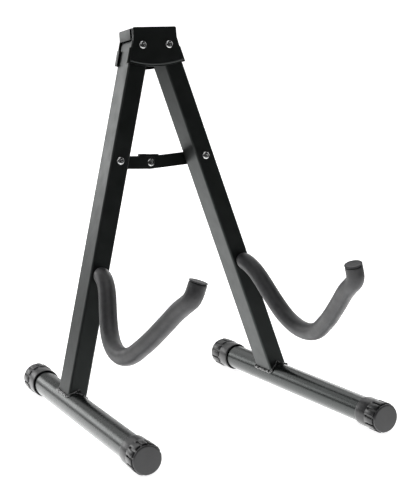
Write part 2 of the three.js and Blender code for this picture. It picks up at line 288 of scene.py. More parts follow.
class Shade:
    """A material under construction, with its shader and a coordinate source."""

    def __init__(self, name, **constants):
        self.material = bpy.data.materials.new(name)
        self.material.use_nodes = True
        self.tree = self.material.node_tree
        self.shader = self.tree.nodes["Principled BSDF"]
        for socket, value in constants.items():
            self.shader.inputs[socket.replace("_", " ")].default_value = value
        self.place = self.node("ShaderNodeTexCoord").outputs["Object"]

    def node(self, kind, inputs=None, **settings):
        return add_node(self.tree, kind, inputs, **settings)

    def link(self, source, socket):
        self.tree.links.new(source, self.shader.inputs[socket])

    def noise(self, scale, detail=3.0, stretch=None):
        """Noise over the piece, stretched along its axes if asked."""
        place = self.place
        if stretch:
            place = self.node("ShaderNodeMapping", {"Vector": place, "Scale": stretch}).outputs[0]
        return self.node("ShaderNodeTexNoise", {
            "Vector": place, "Scale": scale, "Detail": detail}).outputs["Fac"]

    def colour(self, factor, low, high):
        """A base colour that goes from low to high over the middle of a factor."""
        made = self.node("ShaderNodeValToRGB", {"Fac": factor})
        for element, position, colour in zip(made.color_ramp.elements, (0.35, 0.65), (low, high)):
            element.position = position
            element.color = (*colour, 1.0)
        self.link(made.outputs["Color"], "Base Color")

    def roughness(self, factor, low, high):
        """A roughness that goes from low to high over the middle of a factor."""
        made = self.node("ShaderNodeMapRange", {
            "Value": factor, "From Min": 0.3, "From Max": 0.7, "To Min": low, "To Max": high})
        self.link(made.outputs["Result"], "Roughness")

    def bump(self, height, distance, strength=1.0, below=None):
        """A bump of this depth in millimetres over an earlier one."""
        inputs = {"Height": height, "Distance": distance * MM, "Strength": strength}
        if below:
            inputs["Normal"] = below
        return self.node("ShaderNodeBump", inputs).outputs["Normal"]

    def grain(self, height, distance, below=None):
        """The last bump, which the shader uses."""
        self.link(self.bump(height, distance, below=below), "Normal")

    def fade(self, value, start, end, low, high):
        """A smooth change from low to high as a value goes from start to end."""
        return self.node("ShaderNodeMapRange", {
            "Value": value, "From Min": start, "From Max": end, "To Min": low,
            "To Max": high}, interpolation_type="SMOOTHSTEP").outputs["Result"]


GREEN_SHEEN = (0.92, 1.0, 0.975, 1.0)


def powder_coat():
    """Satin black powder coat: a fine orange peel and faint cloudiness."""
    coat = Shade("satin_black_powder_coat", Specular_IOR_Level=0.5, IOR=1.5,
                 Specular_Tint=GREEN_SHEEN, Coat_Weight=0.06, Coat_Roughness=0.25)
    cloud = coat.noise(38.0)
    coat.colour(cloud, (0.0022, 0.0026, 0.0025), (0.004, 0.0045, 0.0044))
    coat.roughness(coat.noise(90.0, 5.0), 0.38, 0.46)
    peel = coat.bump(coat.noise(1500.0, 2.0), 0.012)
    coat.grain(cloud, 0.03, below=peel)
    return coat.material


def gloss_enamel():
    """Gloss black enamel on the round base tubes, with long reflections."""
    coat = Shade("gloss_black_enamel", Specular_IOR_Level=0.5, IOR=1.5,
                 Specular_Tint=GREEN_SHEEN, Coat_Weight=0.04, Coat_Roughness=0.12)
    coat.colour(coat.noise(30.0), (0.002, 0.0027, 0.0026), (0.0036, 0.0045, 0.0043))
    coat.roughness(coat.noise(120.0, 4.0), 0.23, 0.29)
    coat.grain(coat.noise(700.0, 2.0), 0.006)
    return coat.material


def weld_paint():
    """The same black over the weld beads, run thin and shiny on their ripples."""
    coat = Shade("shiny_black_weld_paint", Specular_IOR_Level=0.8, IOR=1.5,
                 Coat_Weight=0.5, Coat_Roughness=0.08)
    coat.colour(coat.noise(300.0), (0.003, 0.0035, 0.0035), (0.012, 0.013, 0.013))
    coat.roughness(coat.noise(500.0, 4.0), 0.1, 0.24)
    coat.grain(coat.noise(900.0, 3.0), 0.05)
    return coat.material


def zinc_plate():
    """Bright zinc on screws and nuts, lightly brushed by the plating barrel."""
    plate = Shade("bright_zinc", Metallic=1.0)
    plate.colour(plate.noise(400.0), (0.42, 0.43, 0.44), (0.62, 0.62, 0.61))
    plate.roughness(plate.noise(900.0, 5.0), 0.14, 0.3)
    plate.grain(plate.noise(2500.0), 0.01)
    return plate.material


def turned_steel():
    """Plain turned steel of the spacers, with fine lathe marks."""
    steel = Shade("turned_steel", Metallic=1.0)
    steel.colour(steel.noise(260.0), (0.36, 0.36, 0.37), (0.5, 0.5, 0.5))
    steel.roughness(steel.noise(700.0), 0.3, 0.45)
    steel.grain(steel.noise(900.0, stretch=(0.1, 4.0, 0.1)), 0.02)
    return steel.material


def cap_rubber():
    """Moulded grey rubber: a satin skin with a fine mould texture."""
    rubber = Shade("moulded_grey_rubber", Specular_IOR_Level=0.5)
    rubber.colour(rubber.noise(60.0), (0.016, 0.016, 0.017), (0.022, 0.022, 0.0235))
    rubber.roughness(rubber.noise(200.0), 0.28, 0.36)
    rubber.grain(rubber.noise(2600.0, 4.0), 0.02)
    return rubber.material


def foam_skin():
    """Charcoal closed-cell foam: a dull skin pitted with fine cells."""
    foam = Shade("charcoal_foam", Specular_IOR_Level=0.5, Sheen_Weight=0.04,
                 Sheen_Roughness=0.4)
    foam.colour(foam.noise(240.0, 4.0), (0.016, 0.016, 0.0175), (0.025, 0.025, 0.027))
    foam.roughness(foam.noise(120.0), 0.42, 0.54)
    cells = foam.node("ShaderNodeTexVoronoi", {"Vector": foam.place, "Scale": 1400.0})
    pits = foam.bump(cells.outputs["Distance"], 0.05, 0.6)
    foam.grain(foam.noise(170.0, 3.0), 0.12, below=pits)
    return foam.material


def plug_rubber():
    """The softer matte rubber of the arm plugs."""
    rubber = Shade("matte_plug_rubber", Specular_IOR_Level=0.4)
    rubber.colour(rubber.noise(180.0), (0.035, 0.035, 0.038), (0.058, 0.058, 0.06))
    rubber.roughness(rubber.noise(400.0), 0.5, 0.62)
    rubber.grain(rubber.noise(1500.0, 4.0), 0.03)
    return rubber.material


def black_nylon():
    """Dull black nylon of the washers."""
    nylon = Shade("black_nylon", Specular_IOR_Level=0.4)
    nylon.colour(nylon.noise(300.0), (0.009, 0.009, 0.009), (0.015, 0.015, 0.015))
    nylon.roughness(nylon.noise(800.0), 0.45, 0.6)
    nylon.grain(nylon.noise(1200.0), 0.02)
    return nylon.material


PAINT = powder_coat()
ENAMEL = gloss_enamel()
WELD_PAINT = weld_paint()
ZINC = zinc_plate()
STEEL = turned_steel()
RUBBER = cap_rubber()
FOAM = foam_skin()
PLUG = plug_rubber()
NYLON = black_nylon()

# ---- geometry node trees -----------------------------------------------------


def tree_with(name, sockets):
    """A geometry node tree with a geometry in and out and the named inputs."""
    tree = bpy.data.node_groups.new(name, "GeometryNodeTree")
    tree.interface.new_socket("Geometry", in_out="INPUT", socket_type="NodeSocketGeometry")
    for socket, kind in sockets.items():
        tree.interface.new_socket(socket, in_out="INPUT", socket_type=f"NodeSocket{kind}")
    tree.interface.new_socket("Geometry", in_out="OUTPUT", socket_type="NodeSocketGeometry")
    return tree, tree.nodes.new("NodeGroupInput"), tree.nodes.new("NodeGroupOutput")


def repeat_round_tree():
    """Copies a template round the Y axis, beside the body it is given."""
    tree, given, result = tree_with("repeat_round_axis", {
        "Template": "Object", "Count": "Int", "Phase": "Float", "Material": "Material"})
    ask = given.outputs
    points = add_node(tree, "GeometryNodeMeshLine", {
        "Count": ask["Count"], "Offset": (0.0, 0.0, 0.0)})
    index = add_node(tree, "GeometryNodeInputIndex").outputs[0]
    share = add_node(tree, "ShaderNodeMath", {0: index, 1: ask["Count"]}, operation="DIVIDE")
    angle = add_node(tree, "ShaderNodeMath", {
        0: share.outputs[0], 1: 2 * math.pi, 2: ask["Phase"]}, operation="MULTIPLY_ADD")
    turn = add_node(tree, "ShaderNodeCombineXYZ", {"Y": angle.outputs[0]})
    template = add_node(tree, "GeometryNodeObjectInfo", {"Object": ask["Template"]})
    copies = add_node(tree, "GeometryNodeInstanceOnPoints", {
        "Points": points.outputs[0], "Instance": template.outputs["Geometry"],
        "Rotation": turn.outputs[0]})
    both = add_node(tree, "GeometryNodeJoinGeometry")
    tree.links.new(copies.outputs[0], both.inputs[0])
    tree.links.new(ask["Geometry"], both.inputs[0])
    real = add_node(tree, "GeometryNodeRealizeInstances", {"Geometry": both.outputs[0]})
    dressed = add_node(tree, "GeometryNodeSetMaterial", {
        "Geometry": real.outputs[0], "Material": ask["Material"]})
    tree.links.new(dressed.outputs[0], result.inputs[0])
    return tree


def set_inputs(modifier, values):
    """Sets a geometry nodes modifier's inputs by their socket identifiers."""
    for item in modifier.node_group.interface.items_tree:
        if item.item_type == "SOCKET" and item.in_out == "INPUT" and item.name in values:
            modifier[item.identifier] = values[item.name]


REPEAT_ROUND = repeat_round_tree()


# ---- leg ---------------------------------------------------------------------


COPE_LIFTS = (0.15, 0.6, 3.0)
LEG_HEIGHTS = (-335.0, -240.0, -121.0, -40.0, -2.0)


def step_at(angle):
    """A step of one at this angle."""
    return Vector((math.cos(angle), math.sin(angle)))


def step_left_of(angle):
    """A step of one to the left of this angle."""
    return Vector((-math.sin(angle), math.cos(angle)))


def tube_outline(grow=0.0):
    """The leg's section as (x, y) points, crowded near its rounded corners."""
    half_x = LEG_WIDTH / 2 + grow
    half_y = LEG_FRONT + grow
    radius = LEG_CORNER + grow
    flat_x = half_x - radius
    flat_y = half_y - radius
    corners = [(flat_x, flat_y, 0), (-flat_x, flat_y, 90),
               (-flat_x, -flat_y, 180), (flat_x, -flat_y, 270)]
    points = []
    for i, (x, y, start) in enumerate(corners):
        points += arc((x, y), radius, start, start + 90, 8)
        following = corners[(i + 1) % 4]
        begin = Vector(points[-1])
        end = Vector(following[:2]) + radius * step_at(math.radians(start + 90))
        for share in (0.03, 0.15, 0.3, 0.5, 0.7, 0.85, 0.97):
            points.append(tuple(begin.lerp(end, share)))
    return points


def tube_top(x, y, radius):
    """Height of the base tube's upper surface, in the leg's frame."""
    rise = math.sqrt(max(radius * radius - x * x, 0.0)) / math.cos(TUBE_TILT)
    return -LEG_LENGTH + y * math.tan(TUBE_TILT) + rise


def leg_mesh():
    """A rectangular tube, coped to the base tube and rounded about its pivot."""
    outline = tube_outline()
    rings = []
    for lift in COPE_LIFTS:
        rings.append([(x, y, tube_top(x, y, TUBE_RADIUS) + lift) for x, y in outline])
    for z in LEG_HEIGHTS:
        rings.append([(x, y, z) for x, y in outline])
    for step in range(15):
        angle = math.radians(88.0 * step / 14)
        squeeze = math.cos(angle)
        height = LEG_WIDTH / 2 * math.sin(angle)
        rings.append([(x * squeeze, y * (1 - 0.012 * (1 - squeeze)), height)
                      for x, y in outline])
    return loft(rings)


BEAD_RADIUS = 1.5
BEAD_RIPPLE = 0.35
BEAD_LUMP = 0.7
BEAD_PITCH = 2.1
BEAD_STEP = 0.7
BEAD_PEAK = 3.0
BEAD_PEAK_WIDTH = 2.6


def weld_mesh():
    """A rippled fillet bead round the coped joint, heaped up at the front."""
    outline = tube_outline(0.5)
    dense = []
    for i, point in enumerate(outline):
        following = outline[(i + 1) % len(outline)]
        steps = max(1, round((Vector(following) - Vector(point)).length / BEAD_STEP))
        for step in range(steps):
            dense.append(Vector(point).lerp(Vector(following), step / steps))
    count = len(dense)
    travel = 0.0
    rings = []
    for i, point in enumerate(dense):
        ahead = (dense[(i + 1) % count] - dense[i - 1]).normalized()
        outward = Vector((ahead.y, -ahead.x))
        if outward.dot(point) < 0:
            outward.negate()
        travel += (dense[(i + 1) % count] - point).length
        ripple = 0.5 + 0.5 * math.cos(2 * math.pi * travel / BEAD_PITCH)
        lump = noise.noise(Vector((point.x, point.y, 3.0)) * 0.35)
        peak = math.exp(-(point.x / BEAD_PEAK_WIDTH) ** 2) if point.y < -LEG_FRONT else 0.0
        radius = BEAD_RADIUS + BEAD_RIPPLE * ripple + BEAD_LUMP * lump
        seat = tube_top(point.x, point.y, TUBE_RADIUS)
        ring = []
        for step in range(10):
            angle = 2 * math.pi * step / 10
            side = radius * math.cos(angle)
            ring.append((point.x + outward.x * side, point.y + outward.y * side,
                         seat + 0.35 + (radius * 0.95 + BEAD_PEAK * peak) * math.sin(angle)))
        rings.append(ring)
    return loft(rings, close=True)


# ---- base tube and caps ------------------------------------------------------


def base_tube_mesh():
    """The round tube, its two ends a little short of the floors of the caps."""
    front = CAP_FLOOR + GAP - FRONT_REACH
    rear = REAR_REACH - CAP_FLOOR - GAP
    soft = 0.4
    return lathe([(TUBE_BORE, front), (TUBE_RADIUS - soft, front), (TUBE_RADIUS, front + soft),
                  (TUBE_RADIUS, 0.0), (TUBE_RADIUS, rear - soft), (TUBE_RADIUS - soft, rear),
                  (TUBE_BORE, rear)], ROUND, close=True)


PAD_START = 3.3
PAD_END = 16.2
PAD_COUNT = 12
PAD_SLOT = 1.9
PAD_ROOT = 13.55
PAD_TURN = math.radians(9.0)
RIM = 1.0
GROOVE = 0.9


def cap_body_mesh():
    """The cup itself: a flat face with a rounded rim, a groove, and a sleeve."""
    bore = TUBE_RADIUS + GAP
    face = [(0.4, 0.0), (6.0, 0.0), (12.2, 0.02)]
    face += [(FACE_RADIUS - RIM + RIM * math.sin(a), RIM - RIM * math.cos(a))
             for a in map(math.radians, (15, 35, 55, 75, 90))]
    face += [(FACE_RADIUS, 1.7), (FACE_RADIUS - GROOVE, 2.0), (FACE_RADIUS - GROOVE, 2.9)]
    band = [(PAD_ROOT, PAD_START), (PAD_ROOT, PAD_END - 1.6),
            (SLEEVE_RADIUS - 0.1, PAD_END - 1.3), (SLEEVE_RADIUS, PAD_END - 1.0)]
    lip = [(radius, CAP_LENGTH - depth) for radius, depth in (
        (SLEEVE_RADIUS, 1.8), (SLEEVE_RADIUS - 0.1, 0.7), (SLEEVE_RADIUS - 0.45, 0.1),
        (bore + 0.8, 0.0), (bore + 0.6, 0.5), (bore + 0.6, 3.0), (bore, 3.3))]
    return lathe(face + band + lip + [(bore, CAP_FLOOR), (0.4, CAP_FLOOR)], ROUND)


def cap_pad_mesh():
    """One raised pad of the band, with soft edges, centred on +Z."""
    half = math.pi / PAD_COUNT - PAD_SLOT / 2 / BAND_RADIUS
    root = PAD_ROOT - 0.4
    soft = 0.5
    softer = 0.15
    shares = (-1.0, -0.97, -0.86, -0.5, 0.0, 0.5, 0.86, 0.97, 1.0)
    rings = []
    length = PAD_END - PAD_START
    for depth, inset in ((0.0, soft), (softer, softer), (soft, 0.0), (length / 2, 0.0),
                         (length - soft, 0.0), (length - softer, softer), (length, soft)):
        ring = []
        for share in shares:
            edge = soft if abs(share) > 0.99 else softer if abs(share) > 0.9 else 0.0
            radius = BAND_RADIUS - max(inset, edge) - softer * share * share
            ring.append((radius * math.sin(half * share), PAD_START + depth,
                         radius * math.cos(half * share)))
        for share in reversed(shares):
            ring.append((root * math.sin(half * share), PAD_START + depth,
                         root * math.cos(half * share)))
        rings.append(ring)
    return loft(rings)


def add_cap(side, end):
    """A cap with its pads set round it, on the front or rear end of the tube."""
    name = f"{side}_{end}_cap"
    body = loose_object("cap_body", cap_body_mesh())
    pad = loose_object("cap_pad", cap_pad_mesh())
    modifier = body.modifiers.new("pads", "NODES")
    modifier.node_group = REPEAT_ROUND
    set_inputs(modifier, {"Template": pad, "Count": PAD_COUNT, "Phase": PAD_TURN,
                          "Material": RUBBER})
    piece = plain_mesh(body, name)
    bpy.data.objects.remove(pad)
    place = BASE[side] @ shifted(front=FRONT_REACH)
    if end == "rear":
        place = BASE[side] @ shifted(front=-REAR_REACH) @ turned(math.pi, "Z")
    piece.data.transform(place)
    dress(piece, RUBBER, f"{side}_leg", name)
    smooth(piece, 38.0)


# ---- arms --------------------------------------------------------------------


def arm_points():
    """The rod's centreline as (distance, along the leg, out of the leg, heading)."""
    points = []
    place = Vector((ARM_START, LEG_FRONT))
    distance = 0.0

    def straight(angle, length, steps):
        nonlocal place, distance
        for step in range(steps):
            share = length * step / steps
            points.append((distance + share, place + share * step_at(angle), angle))
        place = place + length * step_at(angle)
        distance += length

    def bend(start, end, radius, steps):
        nonlocal place, distance
        centre = place + radius * step_left_of(start)
        for step in range(steps):
            angle = start + (end - start) * step / steps
            spot = centre - radius * step_left_of(angle)
            points.append((distance + radius * (angle - start), spot, angle))
        place = centre - radius * step_left_of(end)
        distance += radius * (end - start)

    def knee(steps):
        """The first bend, square out of the leg and round to the fall."""
        nonlocal place, distance
        fall = step_at(ARM_FALL)
        root = place + Vector((KNEE_DROP, 0.0))
        out = root + Vector((0.0, KNEE_OUT))
        place = place + ARM_LEGS[0] * fall
        inner = place - KNEE_RUN * fall
        previous = root
        for step in range(steps):
            share = step / steps
            rest = 1 - share
            spot = (rest ** 3 * root + 3 * rest ** 2 * share * out
                    + 3 * rest * share ** 2 * inner + share ** 3 * place)
            slope = (rest ** 2 * (out - root) + 2 * rest * share * (inner - out)
                     + share ** 2 * (place - inner))
            distance += (spot - previous).length
            points.append((distance, spot, math.atan2(slope.y, slope.x)))
            previous = spot
        distance += (place - previous).length

    knee(60)
    bend(ARM_FALL, ARM_RISE, ARM_BENDS[0], 48)
    straight(ARM_RISE, ARM_LEGS[1], 50)
    bend(ARM_RISE, ARM_TIP, ARM_BENDS[1], 24)
    straight(ARM_TIP, ARM_LEGS[2], 10)
    points.append((distance, place, ARM_TIP))
    return points


ARM = arm_points()
ARM_LENGTH = ARM[-1][0]
KINK_MIDDLE = ARM_LENGTH - ARM_LEGS[2] - ARM_BENDS[1] * (ARM_TIP - ARM_RISE) / 2


def arm_at(distance):
    """The centreline at a distance: (place, heading), straight on before its start."""
    if distance <= 0:
        return ARM[0][1] + Vector((0.0, distance)), RIGHT_ANGLE
    for low, high in zip(ARM, ARM[1:]):
        if distance <= high[0]:
            share = (distance - low[0]) / (high[0] - low[0])
            return low[1].lerp(high[1], share), low[2] + share * (high[2] - low[2])
    return ARM[-1][1], ARM_TIP


def toe_in(side, distance):
    """How far the arm leans towards the middle of the stand by this distance."""
    lean_in = TOE_IN * max(distance / ARM_LENGTH, 0.0) ** 2
    return lean_in if side == "left" else -lean_in


def arm_ring(side, distance, radius, segments, swell=None):
    """A ring round the centreline, kept clear of the leg's front face."""
    place, heading = arm_at(distance)
    ring = []
    for i in range(segments):
        angle = 2 * math.pi * i / segments
        reach = radius * (swell(distance, angle) if swell else 1.0)
        out = reach * math.cos(angle)
        down = place.x - out * math.sin(heading)
        front = place.y + out * math.cos(heading)
        ring.append((toe_in(side, distance) + reach * math.sin(angle),
                     -max(front, LEG_FRONT + GAP), -down))
    return ring


def rod_mesh(side):
    """The rod, from the leg's face to just short of the plug's stem."""
    steps = 120
    return loft([arm_ring(side, -3.0 + (ARM_LENGTH - 5.0) * i / steps, ROD_RADIUS, 24)
                 for i in range(steps + 1)])


PLUG_HEAD = 1.6
FOAM_END = ARM_LENGTH - PLUG_HEAD - 0.45
FOAM_DOME = 8.0
FOAM_SOFT = 0.8
FOAM_BUNCHES = ((10.0, 15.0, -0.22), (178.0, 24.0, -0.18), (234.0, 18.0, 0.18))


def hump(distance, middle, spread):
    """1 at the middle, fading to nothing over the spread on both sides."""
    return math.exp(-((distance - middle) / spread) ** 2)


def foam_swell(distance, angle):
    """Unevenness of the foam: soft lumps, and fuller flanks where it is bent."""
    place = Vector((math.sin(angle), math.cos(angle), distance * 0.04))
    swell = 1.0 + 0.014 * noise.noise(place * 1.2) + 0.006 * noise.noise(place * 3.5)
    swell += 0.06 * hump(distance, 80.0, 60.0)
    for middle, spread, share in FOAM_BUNCHES:
        swell += share * hump(distance, middle, spread) * math.cos(angle)
    near = hump(distance, KINK_MIDDLE, 13.0)
    return swell + 0.06 * near * (0.4 - max(math.cos(angle), 0.0) ** 2)


def foam_mesh(side):
    """The foam sleeve, rounded where it meets the leg and soft at the plug."""
    throat = ROD_RADIUS + 0.5
    stations = []
    for step in range(8):
        angle = RIGHT_ANGLE * step / 8
        stations.append((FOAM_DOME * (1 - math.cos(angle)),
                         throat + (FOAM_RADIUS - throat) * math.sin(angle)))
    steps = 170
    length = FOAM_END - FOAM_SOFT - FOAM_DOME
    for step in range(steps + 1):
        stations.append((FOAM_DOME + length * step / steps, FOAM_RADIUS))
    for step in range(1, 5):
        angle = RIGHT_ANGLE * step / 4
        stations.append((FOAM_END - FOAM_SOFT + FOAM_SOFT * math.sin(angle),
                         FOAM_RADIUS - FOAM_SOFT * (1 - math.cos(angle))))
    rings = [arm_ring(side, distance, radius, 48, foam_swell) for distance, radius in stations]
    rings.append(arm_ring(side, FOAM_END, ROD_RADIUS + 1.0, 48))
    return loft(rings)


def plug_mesh():
    """A mushroom plug with a dished top."""
    rim = FOAM_RADIUS + 0.2
    profile = [(0.3, -6.5), (3.4, -6.5), (3.6, -6.2), (3.6, -PLUG_HEAD - 0.1),
               (4.2, -PLUG_HEAD), (rim - 1.2, -PLUG_HEAD + 0.1)]
    profile += [(rim - 0.6 + first, -PLUG_HEAD / 2 + second)
                for first, second in arc((0, 0), 0.62, -75, 80, 9)]
    profile += [(rim - 1.5, -0.22), (rim - 2.6, -0.42), (4.0, -0.62), (2.0, -0.7),
                (0.3, -0.72)]
    return lathe(profile, 72)


def plug_place(side):
    """The plug's frame at the arm's tip, in line with the rod."""
    place, heading = arm_at(ARM_LENGTH)
    return (LEG[side] @ Matrix.Translation((toe_in(side, ARM_LENGTH), -place.y, -place.x))
            @ turned(1.5 * math.pi - heading, "X"))


# ---- fasteners, along Y with the head at the front ---------------------------


HEAD_RADIUS = 4.0
HEAD_SEAT = 0.05
HEAD_SEGMENTS = 72
SCREW_HEAD = 1.9
RIVET_HEAD = 1.4
SOCKET_FLATS = 1.35
SHANK_RADIUS = 1.95
THREAD_LENGTH = 7.0
THREAD_PITCH = 0.7
THREAD_DEPTH = 0.32
PAST_NUT = 1.0
NUT_FLATS = 7.0
NUT_HEIGHT = 4.0
NUT_HOLE = 2.1
WASHER_RADIUS = 5.5
WASHER_HOLE = 2.2


def hexagonal(turn=0.0):
    """Scales a radius so that a ring becomes a hexagon with that inner radius."""
    sixth = math.pi / 3
    return lambda angle: 1.0 / math.cos((angle + turn) % sixth - sixth / 2)


def blended(shape, amount):
    """A shape between a circle and the given one."""
    return lambda angle: 1.0 + amount * (shape(angle) - 1.0)


def round_rings(*sizes):
    """Plain rings of a screw or rivet, from (radius, y) pairs."""
    return [ring_y(radius, y, HEAD_SEGMENTS) for radius, y in sizes]


def socket_head(height):
    """Rings of a button head with a hexagon socket, from the socket's floor out."""
    socket = hexagonal(0.3)
    floor = -0.25 * height
    rim = -height * 0.93
    rings = round_rings((0.15, floor + 0.25), (SOCKET_FLATS * 0.6, floor))
    rings += [ring_y(SOCKET_FLATS, floor, HEAD_SEGMENTS, socket),
              ring_y(SOCKET_FLATS, rim + 0.12, HEAD_SEGMENTS, socket),
              ring_y(SOCKET_FLATS + 0.12, rim, HEAD_SEGMENTS, blended(socket, 0.9))]
    for share in (0.52, 0.62, 0.72, 0.81, 0.89, 0.95, 0.985, 1.0):
        lift = math.sqrt(max(1 - share ** 2.6, 0.0))
        rings += round_rings((HEAD_RADIUS * share, -height * (0.2 + 0.8 * lift)))
    return rings + round_rings((HEAD_RADIUS, -height * 0.08), (HEAD_RADIUS - 0.15, 0.0))


def screw_mesh(length):
    """A button-head screw whose last stretch is threaded."""
    rings = socket_head(SCREW_HEAD)
    start = length - THREAD_LENGTH
    rings += round_rings((SHANK_RADIUS, HEAD_SEAT), (SHANK_RADIUS, start))
    for turn in range(int((THREAD_LENGTH - 0.6) / THREAD_PITCH)):
        begin = start + THREAD_PITCH * turn
        rings += round_rings((SHANK_RADIUS - THREAD_DEPTH, begin + THREAD_PITCH * 0.35),
                             (SHANK_RADIUS, begin + THREAD_PITCH * 0.85))
    return loft(rings + round_rings((SHANK_RADIUS - 0.5, length), (0.15, length)))


def nut_mesh():
    """A chamfered hexagon nut with a round nylon collar at the back."""
    flats = NUT_FLATS / 2
    shape = hexagonal()
    corner = flats / math.cos(math.pi / 6)
    rings = [ring_y(NUT_HOLE, 0.0, ROUND)]
    for y, limit in ((0.0, corner - 0.55), (0.35, corner), (2.9, corner), (3.15, corner - 0.45)):
        rings.append(ring_y(1.0, y, ROUND, lambda angle: min(flats * shape(angle), limit)))
    for radius, y in ((flats - 0.35, 3.2), (flats - 0.4, NUT_HEIGHT - 0.3),
                      (flats - 0.75, NUT_HEIGHT), (NUT_HOLE, NUT_HEIGHT)):
        rings.append(ring_y(radius, y, ROUND))
    return loft(rings, close=True)


def washer_mesh(thickness):
    """A flat ring with its outer corners broken, for a washer or a spacer."""
    soft = 0.2
    inner = WASHER_RADIUS - soft
    return lathe([(WASHER_HOLE, 0.0), (inner, 0.0), (WASHER_RADIUS, soft),
                  (WASHER_RADIUS, thickness - soft), (inner, thickness),
                  (WASHER_HOLE, thickness)], close=True)


# ---- head --------------------------------------------------------------------


HALF_TOP = 24.9
HALF_FOOT = 32.3
HEAD_TOP = 17.5
FLARE_TOP = 8.0
WALL_FOOT = -17.6
WALL_SAG = -22.0
FLANGE_FRONT = -11.5
FLANGE_FOOT = 6.3
FLANGE_OUT = 0.6
LIP_TOP = -2.0
LIP_HEIGHTS = (LIP_TOP, -7.0, -12.0)
LIP_DEPTH = 5.0
LIP_ROOT = 1.2
LIP_OUT = 0.5
PRESS_RADIUS = 2.0
TIGHT_RADIUS = 1.0
COVER_HALF_TOP = 24.6
COVER_HALF_FOOT = 30.2
COVER_TOP = 18.3
COVER_CORNER = 1.6
COVER_FOOT = -15.2
COVER_SAG = -19.6
COVER_ROLL = 1.1


def grid(bm, rows):
    """Faces between rows of points."""
    made = [[bm.verts.new(point) for point in row] for row in rows]
    for low, high in zip(made, made[1:]):
        for i in range(len(low) - 1):
            bm.faces.new((low[i], low[i + 1], high[i + 1], high[i]))


def across(half, count=24):
    """Evenly spaced x values from one side to the other."""
    return [half * (2 * i / count - 1) for i in range(count + 1)]


def foot_curve(x, half, foot, sag):
    """Height of a curved foot that sags in the middle."""
    return sag + (foot - sag) * (x / half) ** 2


def wall_half(z):
    """Half width of the bracket's wall at a height."""
    if z >= FLARE_TOP:
        return HALF_TOP
    return HALF_TOP + (HALF_FOOT - HALF_TOP) * (FLARE_TOP - z) / (FLARE_TOP - WALL_FOOT)


def tight_bend():
    """Sine and cosine round a tight pressed corner."""
    return [(math.sin(a), math.cos(a)) for a in map(math.radians, (30, 60, 90))]


def add_wall(bm, face):
    """The front (face -1) or rear wall, from its bend to its curved foot."""
    rows = []
    for angle in map(math.radians, (0, 18, 36, 54, 72, 90)):
        y = face * (WALL_OUTSIDE - PRESS_RADIUS + PRESS_RADIUS * math.sin(angle))
        z = HEAD_TOP - PRESS_RADIUS + PRESS_RADIUS * math.cos(angle)
        rows.append([(x, y, z) for x in across(HALF_TOP)])
    for z in (FLARE_TOP, FLARE_TOP - 3.5, 1.0, *LIP_HEIGHTS):
        rows.append([(x, face * WALL_OUTSIDE, z) for x in across(wall_half(z))])
    rows.append([(x, face * WALL_OUTSIDE, foot_curve(x, HALF_FOOT, WALL_FOOT, WALL_SAG))
                 for x in across(HALF_FOOT)])
    grid(bm, rows)


def add_lip(bm, face, side):
    """A narrow lip turned back from the edge of a wall, beside the leg."""
    rows = []
    for z in (*LIP_HEIGHTS, WALL_FOOT):
        edge = side * wall_half(z)
        row = [(edge, face * WALL_OUTSIDE, z)]
        for across_bend, along_bend in tight_bend():
            row.append((edge + side * LIP_ROOT * across_bend,
                        face * (WALL_OUTSIDE - TIGHT_RADIUS + TIGHT_RADIUS * along_bend), z))
        row.append((edge + side * LIP_OUT, face * (WALL_OUTSIDE - LIP_DEPTH), z))
        rows.append(row)
    grid(bm, rows)


def add_flange(bm, side, web):
    """A short flange turned down from the side of the web."""
    rows = []
    for y in (FLANGE_FRONT, -4.0, 4.0, web):
        row = [(side * HALF_TOP, y, HEAD_TOP)]
        for across_bend, along_bend in tight_bend():
            row.append((side * (HALF_TOP + FLANGE_OUT * across_bend), y,
                        HEAD_TOP - TIGHT_RADIUS + TIGHT_RADIUS * along_bend))
        row.append((side * (HALF_TOP + FLANGE_OUT), y, FLANGE_FOOT))
        rows.append(row)
    grid(bm, rows)


def bracket_mesh():
    """The bracket's outer skin: walls, web, flanges and lips, without thickness."""
    bm = bmesh.new()
    web = WALL_OUTSIDE - PRESS_RADIUS
    for face in (-1, 1):
        add_wall(bm, face)
        for side in (-1, 1):
            add_lip(bm, face, side)
    grid(bm, [[(x, y, HEAD_TOP) for x in across(HALF_TOP)]
              for y in (-web, FLANGE_FRONT, -4.0, 4.0, web)])
    for side in (-1, 1):
        add_flange(bm, side, web)
    bmesh.ops.remove_doubles(bm, verts=bm.verts, dist=0.02)
    face_outwards(bm, Vector((0, 0, 1)))
    return bm


def face_outwards(bm, outwards):
    """Turns an open skin so that its face furthest this way points this way."""
    bmesh.ops.recalc_face_normals(bm, faces=bm.faces)
    first = max(bm.faces, key=lambda f: f.calc_center_median().dot(outwards))
    if first.normal.dot(outwards) < 0:
        bmesh.ops.reverse_faces(bm, faces=bm.faces)


